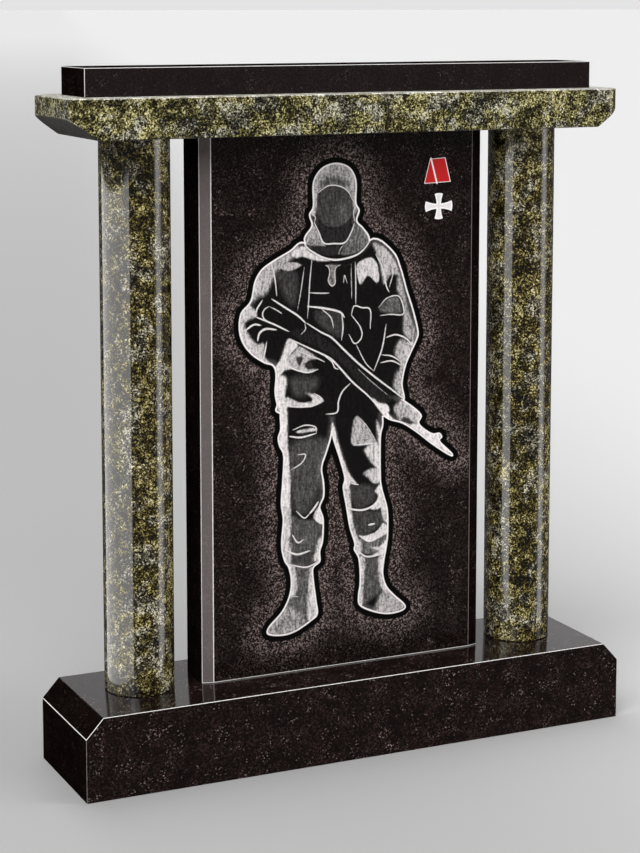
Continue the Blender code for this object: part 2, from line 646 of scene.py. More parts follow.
@dataclass(frozen=True)
class Soldier:
    """Standing soldier in a padded jacket, with a rifle held across the body and a blank, covered face."""

    shift: Point = (3.0, 0.0)
    cloth_tone: float = 0.012

    silhouette: tuple[Points, ...] = (
        # Cap and neck
        (
            (-22, 944), (6, 935), (20, 910), (20, 870), (27, 855), (22, 836), (35, 822), (48, 800),
            (36, 760), (-30, 735), (-72, 760), (-85, 800), (-84, 813), (-71, 831), (-76, 851),
            (-68, 867), (-68, 909), (-51, 935),
        ),
        # Jacket and sleeves
        (
            (-85, 802), (-115, 787), (-147, 771), (-170, 756), (-184, 734), (-192, 700), (-211, 679),
            (-215, 650), (-208, 624), (-190, 601), (-165, 584), (-149, 578), (-143, 562), (-145, 530),
            (-141, 507), (-134, 488), (-30, 466), (79, 465), (94, 492), (121, 494), (117, 525),
            (125, 562), (146, 604), (150, 623), (139, 665), (126, 702), (113, 744), (97, 776), (55, 803),
            (6, 768), (-32, 764),
        ),
        # Rifle
        (
            (-166, 684), (-150, 701), (-83, 655), (15, 561), (73, 524), (120, 494), (157, 464),
            (153, 446), (179, 426), (196, 425), (202, 416), (198, 408), (224, 383), (219, 378),
            (181, 403), (149, 428), (117, 449), (79, 465), (35, 518), (-22, 573), (-117, 624),
            (-174, 664),
        ),
        # Leg on the viewer's left
        (
            (-120, 540), (-134, 496), (-134, 461), (-139, 444), (-136, 428), (-128, 409), (-130, 365),
            (-133, 320), (-129, 290), (-132, 257), (-132, 234), (-126, 211), (-118, 198), (-113, 172),
            (-117, 145), (-132, 117), (-158, 92), (-160, 77), (-132, 71), (-104, 75), (-71, 92),
            (-58, 104), (-61, 131), (-67, 177), (-66, 193), (-53, 203), (-53, 223), (-47, 243),
            (-46, 283), (-53, 306), (-45, 325), (-45, 351), (-49, 380), (-40, 407), (-30, 438),
            (-26, 478), (-40, 540),
        ),
        # Leg on the viewer's right
        (
            (-30, 540), (-34, 475), (-28, 435), (-15, 396), (-4, 357), (-7, 338), (0, 299), (7, 261),
            (17, 230), (16, 218), (25, 201), (28, 175), (28, 149), (25, 130), (28, 109), (57, 93),
            (89, 85), (119, 88), (125, 99), (100, 123), (85, 141), (78, 164), (80, 189), (85, 216),
            (88, 242), (87, 287), (75, 330), (72, 357), (72, 426), (77, 462), (60, 530),
        ),
    )

    strokes: tuple[Stroke, ...] = (
        # Edge of the cap, and the cloth beside the covered face
        Stroke(3.0, ((-59, 889), (-49, 896), (-38, 902), (-24, 903), (-7, 898), (5, 888), (10, 878))),
        Stroke(2.4, ((-60, 876), (-62, 867), (-72, 856), (-63, 846), (-66, 834))),
        Stroke(2.4, ((10, 878), (17, 866), (14, 850), (17, 834))),
        # Collar
        Stroke(3.6, ((-65, 836), (-56, 818), (-46, 798), (-26, 796), (-3, 797), (10, 816), (16, 832))),
        Stroke(4.6, (
            (-89, 810), (-82, 794), (-69, 783), (-49, 772), (-26, 766), (-3, 767), (21, 773), (36, 783),
            (50, 800),
        )),
        Stroke(2.0, ((-5, 794), (-13, 784), (-16, 775))),
        # Webbing and pockets on the chest
        Stroke(2.8, ((-70, 768), (-74, 730), (-76, 698), (-79, 660))),
        Stroke(2.2, ((-85, 756), (-92, 712), (-99, 676))),
        Stroke(2.8, ((-75, 708), (-54, 706), (-34, 705))),
        Stroke(2.6, (
            (-42, 757), (-36, 752), (-34, 742), (-37, 728), (-30, 718), (-23, 724), (-24, 742),
            (-21, 752), (-12, 756),
        )),
        Stroke(2.2, ((-6, 722), (-4, 736), (2, 720))),
        Stroke(5.0, ((-79, 683), (-47, 678), (-14, 669), (-4, 658))),
        Stroke(2.8, ((-50, 676), (-32, 660), (-26, 640))),
        Stroke(3.2, ((-10, 668), (-7, 640), (-10, 616))),
        Stroke(3.0, ((18, 760), (19, 720), (19, 682))),
        Stroke(1.9, ((10, 757), (10, 722), (11, 692))),
        Stroke(3.4, ((10, 662), (16, 678), (32, 674), (49, 669), (49, 633))),
        Stroke(3.2, ((10, 662), (29, 637), (31, 618), (17, 608), (5, 626))),
        Stroke(2.4, ((19, 608), (39, 571), (56, 554))),
        # Sleeve on the viewer's right
        Stroke(3.4, ((82, 640), (74, 596), (57, 554))),
        Stroke(3.8, ((82, 615), (102, 619), (123, 611), (136, 598))),
        Stroke(3.0, ((72, 583), (94, 579), (112, 568))),
        Stroke(3.4, ((70, 568), (94, 570), (114, 560))),
        Stroke(3.4, ((60, 772), (74, 746), (82, 712), (88, 700))),
        Stroke(2.6, ((84, 766), (96, 740), (88, 708))),
        Stroke(3.2, ((66, 672), (84, 689), (108, 691), (118, 669), (116, 656), (92, 658), (70, 657))),
        # Rifle
        Stroke(4.4, ((-150, 701), (-124, 684), (-98, 667), (-82, 652))),
        Stroke(2.4, ((-84, 651), (-83, 641), (-92, 632))),
        Stroke(3.2, ((-155, 688), (-164, 683), (-168, 675), (-166, 667), (-158, 660))),
        Stroke(2.4, ((-154, 687), (-142, 681), (-130, 673))),
        Stroke(4.0, ((-186, 672), (-145, 654), (-116, 639))),
        Stroke(4.6, (
            (-80, 652), (-52, 634), (-30, 622), (-7, 600), (24, 571), (58, 543), (99, 512), (123, 493),
        )),
        Stroke(4.4, ((-116, 626), (-76, 606), (-40, 588), (-22, 574), (12, 537), (49, 504), (79, 468))),
        Stroke(3.2, ((-48, 592), (-30, 578), (-24, 566), (-16, 562))),
        Stroke(1.4, ((24, 560), (52, 534), (86, 506))),
        Stroke(2.4, ((118, 452), (150, 436), (182, 410), (206, 394))),
        # Elbow and hand on the viewer's left
        Stroke(4.4, ((-204, 645), (-186, 656), (-171, 654))),
        Stroke(5.0, ((-178, 626), (-174, 640), (-161, 647), (-141, 644))),
        Stroke(3.6, ((-160, 624), (-164, 604), (-168, 588))),
        Stroke(3.2, ((-152, 772), (-144, 740), (-140, 706))),
        Stroke(4.0, ((-168, 700), (-178, 686), (-182, 674))),
        Stroke(4.0, ((-124, 581), (-110, 571), (-80, 561), (-58, 565))),
        Stroke(3.0, ((-101, 604), (-80, 594), (-60, 586), (-44, 578))),
        Stroke(2.2, ((-94, 606), (-106, 590), (-104, 574))),
        # Hem of the jacket
        Stroke(4.0, ((-120, 501), (-92, 498), (-69, 498), (-46, 505))),
        Stroke(2.6, ((-66, 521), (-54, 514), (-46, 506))),
        Stroke(3.8, ((8, 534), (-8, 520), (-16, 502), (-19, 482), (-42, 480))),
        # Trouser leg on the viewer's left
        Stroke(3.0, ((-109, 456), (-84, 463), (-63, 458), (-61, 447))),
        Stroke(4.4, ((-116, 445), (-92, 441), (-61, 446))),
        Stroke(3.2, ((-99, 409), (-83, 408), (-91, 393), (-114, 381))),
        Stroke(3.2, ((-75, 296), (-86, 289), (-102, 304))),
        Stroke(5.0, ((-57, 317), (-66, 305), (-75, 296))),
        Stroke(3.8, ((-110, 260), (-99, 244), (-86, 249))),
        Stroke(5.0, ((-126, 234), (-101, 222), (-74, 226))),
        Stroke(3.8, ((-121, 206), (-87, 196), (-70, 198), (-53, 206))),
        Stroke(2.0, ((-115, 143), (-106, 143), (-97, 141))),
        # Trouser leg on the viewer's right
        Stroke(3.2, ((14, 417), (36, 417), (62, 417))),
        Stroke(2.0, ((30, 466), (46, 446), (62, 420))),
        Stroke(4.8, ((2, 301), (14, 295), (36, 292), (56, 298), (68, 310))),
        Stroke(3.0, ((9, 345), (26, 341))),
        Stroke(4.0, ((27, 244), (46, 231), (64, 235), (84, 252))),
        Stroke(4.2, ((24, 216), (39, 203), (56, 201), (80, 204))),
        Stroke(5.0, ((46, 262), (60, 263))),
    )

    areas: tuple[Area, ...] = (
        # Cap, covered face and collar
        Area(0.50, 3, (
            (-69, 899), (-69, 916), (-61, 932), (-42, 942), (-24, 943), (-3, 939), (13, 924), (17, 903),
            (15, 883), (10, 878), (-3, 896), (-24, 903), (-42, 901), (-59, 889), (-65, 885),
        )),
        Area(0.20, 12, (
            (-53, 905), (-42, 915), (-24, 918), (-5, 912), (4, 901), (-7, 899), (-24, 904), (-42, 901),
        )),
        Area(0.52, 3, ((-69, 899), (-59, 889), (-60, 863), (-64, 848), (-73, 853), (-66, 867))),
        Area(0.46, 3, ((10, 878), (16, 894), (19, 874), (21, 857), (15, 848), (12, 861))),
        Area(0.13, 2, (
            (-58, 888), (-42, 900), (-24, 902), (-3, 895), (10, 880), (12, 853), (-3, 833), (-28, 826),
            (-47, 833), (-59, 853),
        )),
        Area(0.26, 34, ((-12, 862), (6, 860), (8, 846), (-4, 837), (-18, 840))),
        Area(0.05, 2.5, (
            (-59, 851), (-47, 831), (-28, 824), (-3, 831), (13, 848), (15, 832), (9, 816), (-4, 798),
            (-45, 799), (-56, 818), (-64, 836),
        )),
        Area(0.46, 3, (
            (-88, 810), (-79, 822), (-66, 831), (-56, 816), (-46, 797), (-42, 792), (-65, 793),
            (-80, 797),
        )),
        Area(0.28, 3, (
            (16, 829), (36, 817), (50, 804), (36, 785), (13, 775), (-12, 776), (-6, 794), (10, 814),
        )),
        Area(0.05, 2.5, ((-44, 792), (-7, 792), (-16, 775), (-49, 776), (-69, 787), (-78, 794))),
        # Shoulders and chest
        Area(0.54, 7, (
            (-94, 797), (-126, 779), (-156, 765), (-181, 745), (-195, 718), (-196, 697), (-175, 705),
            (-160, 711), (-151, 728), (-141, 745), (-130, 758), (-107, 774),
        )),
        Area(0.12, 10, ((-139, 748), (-101, 744), (-103, 690), (-122, 698), (-134, 727))),
        Area(0.70, 2.5, (
            (-111, 780), (-99, 790), (-86, 794), (-73, 782), (-49, 771), (-34, 764), (-65, 767),
            (-88, 775), (-101, 773),
        )),
        Area(0.56, 2, ((-133, 758), (-118, 766), (-99, 764), (-92, 758), (-118, 750))),
        Area(0.66, 2, (
            (21, 754), (33, 763), (52, 766), (64, 751), (67, 726), (61, 719), (44, 733), (29, 717),
            (22, 736),
        )),
        Area(0.56, 4, (
            (54, 793), (76, 785), (96, 764), (108, 735), (90, 731), (78, 715), (73, 730), (66, 762),
        )),
        Area(0.50, 5, (
            (108, 735), (118, 705), (129, 661), (142, 628), (137, 606), (119, 620), (118, 657),
            (116, 680), (104, 706),
        )),
        Area(0.24, 4, ((68, 668), (84, 686), (106, 688), (114, 670), (112, 660), (92, 660))),
        Area(0.36, 2, (
            (-42, 757), (-12, 756), (-21, 751), (-23, 724), (-30, 718), (-37, 728), (-34, 742),
            (-36, 752),
        )),
        Area(0.11, 8, ((-60, 674), (-12, 664), (-12, 622), (-56, 650))),
        # Sleeve on the viewer's left, down to the wrist
        Area(0.62, 4, (
            (-196, 695), (-209, 679), (-216, 651), (-210, 623), (-187, 596), (-151, 581), (-164, 595),
            (-166, 620), (-180, 621), (-196, 640), (-202, 661), (-179, 673),
        )),
        Area(0.72, 3, (
            (-116, 626), (-98, 613), (-110, 600), (-116, 586), (-109, 571), (-126, 567), (-140, 552),
            (-144, 573), (-133, 590), (-125, 611),
        )),
        Area(0.56, 3, (
            (-93, 610), (-60, 587), (-73, 584), (-84, 577), (-78, 569), (-61, 565), (-80, 560),
            (-110, 572), (-115, 590), (-101, 606),
        )),
        Area(0.08, 3, ((-101, 589), (-89, 590), (-93, 576), (-98, 578))),
        Area(0.08, 3, ((-84, 572), (-75, 580), (-68, 571), (-74, 566))),
        # Skirt of the jacket
        Area(0.74, 4, (
            (-143, 551), (-127, 559), (-120, 548), (-124, 522), (-118, 501), (-133, 494), (-146, 526),
        )),
        Area(0.70, 2.5, (
            (-121, 518), (-93, 506), (-71, 507), (-72, 515), (-86, 524), (-69, 521), (-47, 507),
            (-69, 498), (-119, 501),
        )),
        Area(0.14, 14, ((-110, 552), (-60, 548), (-70, 524), (-104, 520))),
        # Sleeve on the viewer's right, down to the hand on the rifle
        Area(0.56, 6, (
            (150, 625), (134, 582), (123, 559), (117, 532), (119, 497), (99, 518), (102, 544),
            (112, 560), (100, 586), (112, 609), (136, 606),
        )),
        Area(0.80, 2.5, ((52, 503), (69, 499), (88, 484), (92, 468), (113, 456), (97, 458), (77, 468))),
        Area(0.56, 5, (
            (121, 493), (156, 466), (158, 454), (148, 446), (123, 460), (110, 458), (99, 481),
        )),
        Area(0.05, 2, ((86, 474), (96, 468), (110, 456), (100, 458))),
        Area(0.74, 4, (
            (150, 446), (176, 428), (196, 424), (200, 414), (222, 382), (182, 404), (154, 428),
            (132, 444),
        )),
        Area(0.035, 4, (
            (-76, 640), (-30, 610), (60, 530), (94, 500), (70, 492), (30, 528), (-20, 582), (-110, 634),
        )),
        # Trouser leg on the viewer's left
        Area(0.17, 14, ((-114, 426), (-43, 431), (-47, 376), (-54, 341), (-82, 299), (-108, 318))),
        Area(0.2, 6, ((-121, 295), (-84, 284), (-52, 280), (-56, 257), (-62, 224), (-121, 232))),
        Area(0.14, 4, ((-119, 223), (-63, 219), (-69, 201), (-108, 201))),
        Area(0.24, 5, ((-119, 199), (-69, 193), (-69, 153), (-64, 112), (-82, 98), (-121, 123))),
        Area(0.74, 3.5, (
            (-144, 506), (-135, 491), (-136, 461), (-140, 446), (-138, 430), (-127, 409), (-132, 321),
            (-129, 262), (-114, 262), (-114, 327), (-114, 374), (-119, 436), (-121, 498),
        )),
        Area(0.66, 2.5, ((-99, 454), (-67, 457), (-62, 451), (-95, 449))),
        Area(0.76, 3, ((-55, 309), (-47, 289), (-48, 273), (-67, 288))),
        Area(0.62, 5, (
            (-130, 309), (-131, 233), (-126, 211), (-114, 201), (-112, 226), (-117, 263), (-113, 307),
        )),
        Area(0.64, 4, ((-48, 253), (-58, 242), (-62, 226), (-68, 208), (-54, 203), (-50, 228))),
        Area(0.60, 4, ((-117, 200), (-105, 198), (-100, 161), (-108, 143), (-118, 143), (-114, 172))),
        Area(0.66, 4, ((-74, 189), (-68, 190), (-59, 120), (-60, 100), (-78, 94), (-79, 140))),
        Area(0.44, 8, (
            (-160, 80), (-146, 106), (-120, 128), (-87, 102), (-87, 88), (-109, 75), (-136, 73),
        )),
        # Trouser leg on the viewer's right
        Area(0.12, 8, ((4, 339), (31, 340), (57, 334), (57, 307), (22, 297))),
        Area(0.14, 5, ((9, 289), (76, 282), (72, 259), (22, 239), (14, 257))),
        Area(0.28, 5, ((22, 235), (78, 240), (76, 206), (28, 211))),
        Area(0.2, 6, ((26, 198), (72, 193), (77, 160), (76, 134), (31, 111), (25, 146))),
        Area(0.52, 2, ((17, 468), (30, 466), (62, 421), (62, 416), (14, 417), (12, 444))),
        Area(0.66, 4, ((62, 460), (72, 440), (74, 400), (70, 360), (64, 372), (66, 416))),
        Area(0.66, 4, ((38, 408), (64, 416), (68, 372), (58, 374), (44, 392))),
        Area(0.62, 3.5, ((36, 362), (55, 370), (71, 364), (68, 342), (57, 341), (45, 352))),
        Area(0.72, 3, ((60, 326), (71, 336), (80, 308), (73, 292), (50, 292), (63, 306), (66, 316))),
        Area(0.70, 3, (
            (-30, 446), (-16, 398), (-4, 357), (-7, 333), (4, 257), (15, 257), (8, 315), (9, 345),
            (24, 341), (6, 365), (-12, 411), (-26, 462),
        )),
        Area(0.64, 4, (
            (-7, 334), (6, 264), (16, 228), (16, 217), (28, 203), (32, 226), (21, 246), (13, 278),
            (7, 333),
        )),
        Area(0.74, 2.5, ((27, 243), (39, 242), (63, 248), (79, 263), (88, 244), (69, 235), (47, 230))),
        Area(0.72, 3, ((51, 219), (69, 218), (85, 229), (84, 204), (53, 202), (69, 209))),
        Area(0.66, 3, ((73, 293), (81, 301), (88, 279), (87, 263), (79, 266), (74, 280))),
        Area(0.58, 4, ((25, 204), (39, 198), (37, 156), (35, 112), (27, 112), (27, 175))),
        Area(0.64, 4, ((68, 199), (80, 198), (79, 164), (96, 130), (82, 128), (70, 150))),
        Area(0.50, 7, ((76, 130), (100, 122), (121, 107), (122, 92), (90, 87), (60, 94))),
    )

    def _moved(self, places: np.ndarray) -> np.ndarray:
        """Return places in the drawing's own frame."""
        return places - np.array(self.shift)

    def outline(self, places: np.ndarray) -> np.ndarray:
        """Return the distance of places from the figure's edge, which is negative inside."""
        own = self._moved(places)
        return np.minimum.reduce([signed(own, smooth_path(part, True)) for part in self.silhouette])

    def lines(self, places: np.ndarray) -> np.ndarray:
        """Return the distance of places from the nearest line's edge."""
        own = self._moved(places)
        return np.minimum.reduce([stroke.gaps(own) for stroke in self.strokes])

    def patches(self, places: np.ndarray) -> np.ndarray:
        """Return the distance of places from the nearest patch's edge."""
        own = self._moved(places)
        return np.minimum.reduce([np.abs(area.gaps(own)) for area in self.areas])

    def tones(self, places: np.ndarray) -> np.ndarray:
        """Return the tone of the cloth, where later patches lie over earlier ones."""
        own = self._moved(places)
        tone = np.full(len(places), self.cloth_tone)
        for area in self.areas:
            tone += area.cover(own) * (area.tone - tone)
        return tone


@dataclass(frozen=True)
class Decoration:
    """Painted cross with flared arms, under a red ribbon with a white stripe."""

    shift: Point = (7.0, 0.0)
    ribbon: Points = ((168, 945), (200, 947), (212, 901), (156, 899))
    stripe: Points = ((170, 946), (183, 899))
    stripe_width: float = 3.0
    right_border: Points = ((200, 946), (211, 902))
    centre: Point = (187, 856)
    reach: Point = (29.0, 24.5)
    neck: float = 4.6
    flare: Point = (9.5, 11.0)
    flare_power: float = 2.2
    end_curve: float = 0.02

    def ribbon_gaps(self, places: np.ndarray) -> np.ndarray:
        """Return the distance of places from the ribbon's edge, which is negative inside."""
        own = places - np.array(self.shift)
        return signed(own, np.array([*self.ribbon, self.ribbon[0]], float))

    def white_gaps(self, places: np.ndarray) -> np.ndarray:
        """Return the distance of places from the cross or the stripes, which is negative inside."""
        own = places - np.array(self.shift)
        half = np.full(2, self.stripe_width / 2)
        stripe = distance(own, np.array(self.stripe, float), half)
        border = distance(own, np.array(self.right_border, float), half * 0.5)
        return np.minimum.reduce([stripe, border, self._arm_gaps(own, 0), self._arm_gaps(own, 1)])

    def _arm_gaps(self, places: np.ndarray, axis: int) -> np.ndarray:
        """Return the distance of places from the edge of two opposite arms, along one axis."""
        along = np.abs(places[:, axis] - self.centre[axis])
        across = np.abs(places[:, 1 - axis] - self.centre[1 - axis])
        share = np.clip(along / self.reach[axis], 0, 1)
        half = self.neck + (self.flare[1 - axis] - self.neck) * share**self.flare_power
        end = self.reach[axis] - self.end_curve * across**2
        return np.maximum(across - half, along - end)


# Modelling tools


def deselect() -> None:
    """Leave edit mode and select nothing."""
    if bpy.context.object and bpy.context.object.mode != "OBJECT":
        bpy.ops.object.mode_set(mode="OBJECT")
    bpy.ops.object.select_all(action="DESELECT")


class Workpiece:
    """Stone that is shaped with Blender's edit tools."""

    def __init__(self, name: str) -> None:
        """Take over the primitive that was added last."""
        self.thing = bpy.context.object
        self.thing.name = name
        self.thing.data.name = name
        bpy.ops.object.transform_apply(location=True, rotation=True, scale=True)

    @classmethod
    def block(cls, name: str, low: Vector, high: Vector) -> "Workpiece":
        """Return a block between two corners."""
        deselect()
        bpy.ops.mesh.primitive_cube_add(size=1.0, location=(low + high) / 2, scale=high - low)
        return cls(name)

    @classmethod
    def round_bar(cls, name: str, low: Vector, high: Vector, sides: int) -> "Workpiece":
        """Return an upright round bar that fills the box between two corners."""
        deselect()
        bpy.ops.mesh.primitive_cylinder_add(
            vertices=sides,
            radius=(high.x - low.x) / 2,
            depth=high.z - low.z,
            location=(low + high) / 2,
            end_fill_type="NGON",
        )
        return cls(name)

    def edit(self, mode: str = "FACE") -> bmesh.types.BMesh:
        """Enter edit mode with nothing selected, and return the mesh."""
        deselect()
        bpy.context.view_layer.objects.active = self.thing
        self.thing.select_set(True)
        bpy.ops.object.mode_set(mode="EDIT")
        bpy.ops.mesh.select_mode(type=mode)
        bpy.ops.mesh.select_all(action="DESELECT")
        return bmesh.from_edit_mesh(self.thing.data)

    def pick_faces(self, test: FaceTest) -> None:
        """Select the faces that pass a test of their middle and normal, and stay in edit mode."""
        mesh = self.edit("FACE")
        for face in mesh.faces:
            if test(face.calc_center_median(), face.normal):
                face.select_set(True)
        bmesh.update_edit_mesh(self.thing.data)

    def cut(self, point: Vector, outward: Vector) -> None:
        """Cut off what lies on the outward side of a plane, and close the cut."""
        self.edit()
        bpy.ops.mesh.select_all(action="SELECT")
        bpy.ops.mesh.bisect(plane_co=point, plane_no=outward, use_fill=True, clear_outer=True)
        deselect()

    def cut_ends(self, low: Vector, high: Vector, point: Vector, outward: Vector) -> None:
        """Cut both ends alike.

        Args:
            low: The stone's lower corner.
            high: The stone's upper corner.
            point: Where the plane meets the right end. Its x is taken from the ends.
            outward: The plane's outward direction at the right end.
        """
        for side, end in ((-1, low.x), (1, high.x)):
            self.cut(Vector((end, point.y, point.z)), Vector((side * outward.x, outward.y, outward.z)))

    def split(self, point: Vector, normal: Vector) -> None:
        """Draw an edge round the stone where a plane meets it."""
        self.edit()
        bpy.ops.mesh.select_all(action="SELECT")
        bpy.ops.mesh.bisect(plane_co=point, plane_no=normal)
        deselect()

    def round_uprights(self, radius: float, segments: int) -> None:
        """Round the four upright corners of a block."""
        mesh = self.edit("EDGE")
        for edge in mesh.edges:
            first, second = (vert.co for vert in edge.verts)
            edge.select_set((first - second).xy.length < HAIR)
        bmesh.update_edit_mesh(self.thing.data)
        bpy.ops.mesh.bevel(offset=radius, segments=segments, affect="EDGES")
        deselect()

    def ease(self, width: float, segments: int = 3, skin: Skin = Skin.ARRIS) -> None:
        """Ease all sharp edges with a bevel that is applied, and give it its own finish."""
        deselect()
        bpy.context.view_layer.objects.active = self.thing
        self.thing.select_set(True)
        easing = self.thing.modifiers.new("eased edges", "BEVEL")
        easing.width = width
        easing.segments = segments
        easing.limit_method = "ANGLE"
        easing.angle_limit = SHARP
        easing.material = skin.value
        bpy.ops.object.modifier_apply(modifier=easing.name)

    def dress(self, finishes: tuple[bpy.types.Material, ...]) -> None:
        """Give the stone its finishes, in the order of Skin."""
        for finish in finishes:
            self.thing.data.materials.append(finish)

    def assign(self, skin: Skin, test: FaceTest, only: Skin | None = None) -> None:
        """Give a finish to the faces that pass a test, or only to those that have a named finish."""
        self.pick_faces(test)
        if only is not None:
            mesh = bmesh.from_edit_mesh(self.thing.data)
            for face in mesh.faces:
                if face.material_index != only.value:
                    face.select_set(False)
            bmesh.update_edit_mesh(self.thing.data)
        self.thing.active_material_index = skin.value
        bpy.ops.object.material_slot_assign()
        deselect()

    def hand_over(self, slot: Slot, node: str) -> bpy.types.Object:
        """Smooth the rounded edges, ride on the body and stand for the CAD node."""
        deselect()
        bpy.context.view_layer.objects.active = self.thing
        self.thing.select_set(True)
        bpy.ops.object.shade_smooth_by_angle(angle=SHARP)
        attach(self.thing, BODY)
        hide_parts(node)
        return self.thing


# The stones


@dataclass(frozen=True)
class Finishes:
    """Materials that the stones share."""

    polished: bpy.types.Material
    even: bpy.types.Material
    honed: bpy.types.Material
    # Grey satin, which stands as a painted sheen where the stones use it.
    satin: bpy.types.Material
    edge: bpy.types.Material
    granite: bpy.types.Material
    deep: bpy.types.Material
    sawn: bpy.types.Material
    dull: bpy.types.Material
    etched: bpy.types.Material

    @classmethod
    def make(cls) -> "Finishes":
        """Return all materials."""
        return cls(
            polished=PolishedGabbro().make(),
            even=CapGabbro().make(),
            honed=HonedGabbro().make(),
            satin=SheenGabbro().make(),
            edge=GroundEdgeHighlight().make(),
            granite=GreenGranite().make(),
            deep=ShadedColumnGranite().make(),
            sawn=SawnGranite().make(),
            dull=ShadedUnderGranite().make(),
            etched=EtchedFace().make(),
        )


@dataclass
class Base:
    """Long block with both ends chamfered at the top."""

    chamfer_run: float = 0.032
    chamfer_drop: float = 0.035
    arris: float = 0.0009
    end_lean: float = 0.7

    def build(self, finishes: Finishes) -> bpy.types.Object:
        """Model the stone and return its object."""
        low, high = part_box("base_block")
        piece = Workpiece.block("base_stone", low, high)
        piece.dress((finishes.polished, finishes.edge, finishes.honed, finishes.satin))
        shoulder = Vector((high.x, 0, high.z - self.chamfer_drop))
        piece.cut_ends(low, high, shoulder, Vector((self.chamfer_drop, 0, self.chamfer_run)))
        piece.ease(self.arris)
        self._finish_edges(piece, low, high)
        piece.assign(Skin.HONED, lambda middle, normal: abs(normal.x) > self.end_lean, Skin.POLISHED)
        return piece.hand_over(Slot.BLACK, "base_block")

    def _finish_edges(self, piece: Workpiece, low: Vector, high: Vector) -> None:
        """Keep painted highlights on the front's upper edges and the left shoulder, a dimmer painted sheen
        up the front-left corner, and polish the rest.
        """
        shoulder = high.z - self.chamfer_drop

        def is_pale(middle: Vector, normal: Vector) -> bool:
            """Return whether an edge stays pale."""
            on_front = middle.y < low.y + self.arris
            on_left = middle.x < low.x + self.chamfer_run
            on_shoulder = middle.x < low.x + self.arris and abs(middle.z - shoulder) < self.arris
            above = middle.z > shoulder - self.arris
            return on_shoulder or (on_front and above and (on_left or middle.z > high.z - self.arris))

        def is_corner(middle: Vector, normal: Vector) -> bool:
            """Return whether an edge is the upright one at the front left."""
            return middle.y < low.y + self.arris and middle.x < low.x + self.arris

        piece.assign(Skin.SATIN, is_corner, Skin.ARRIS)
        piece.assign(Skin.ARRIS, is_pale, Skin.SATIN)
        piece.assign(Skin.POLISHED, lambda middle, normal: not is_pale(middle, normal), Skin.ARRIS)


@dataclass
class Column:
    """Round column with narrow eased rims."""

    name: str
    sides: int = 160
    rim: float = 0.002

    def build(self, finishes: Finishes) -> bpy.types.Object:
        """Model the stone and return its object."""
        low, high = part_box(self.name)
        piece = Workpiece.round_bar(f"{self.name}_stone", low, high, self.sides)
        # Painted shade: the columns get the darker copy of the granite.
        piece.dress((finishes.deep, finishes.deep))
        piece.ease(self.rim)
        return piece.hand_over(Slot.GREEN, self.name)


@dataclass
class Lintel:
    """Beam with rounded upright corners, and with both ends chamfered underneath."""

    chamfer_run: float = 0.050
    chamfer_rise: float = 0.036
    corner_radius: float = 0.030
    corner_segments: int = 16
    arris: float = 0.002
    underside_lean: float = 0.4

    def build(self, finishes: Finishes) -> bpy.types.Object:
        """Model the stone and return its object."""
        low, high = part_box("lintel")
        piece = Workpiece.block("lintel_stone", low, high)
        piece.dress((finishes.granite, finishes.granite, finishes.sawn, finishes.dull))
        piece.round_uprights(self.corner_radius, self.corner_segments)
        shoulder = Vector((high.x, 0, low.z + self.chamfer_rise))
        piece.cut_ends(low, high, shoulder, Vector((self.chamfer_rise, 0, -self.chamfer_run)))
        piece.ease(self.arris)
        piece.assign(Skin.HONED, lambda middle, normal: middle.z > high.z - self.arris)
        # Painted shade: the underside and its chamfers get the darker granite.
        piece.assign(Skin.SATIN, lambda middle, normal: normal.z < -self.underside_lean)
        return piece.hand_over(Slot.GREEN, "lintel")


@dataclass
class Cap:
    """Plain slab on the lintel."""

    arris: float = 0.0009

    def build(self, finishes: Finishes) -> bpy.types.Object:
        """Model the stone and return its object."""
        low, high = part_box("cap_slab")
        piece = Workpiece.block("cap_stone", low, high)
        piece.dress((finishes.even, finishes.edge, finishes.honed))
        piece.ease(self.arris)
        piece.assign(Skin.HONED, lambda middle, normal: normal.z > FLAT or abs(normal.x) > FLAT)
        # Painted highlight: only the edges that catch the light stay pale; the others are honed dark.
        piece.assign(Skin.HONED, lambda middle, normal: not self._is_pale(middle, low, high), Skin.ARRIS)
        return piece.hand_over(Slot.BLACK, "cap_slab")

    def _is_pale(self, middle: Vector, low: Vector, high: Vector) -> bool:
        """Return whether an edge is at the top of the front or the left end, or between these two faces."""
        on_front = middle.y < low.y + self.arris
        on_left = middle.x < low.x + self.arris
        return middle.z > high.z - self.arris and (on_front or on_left) or on_front and on_left


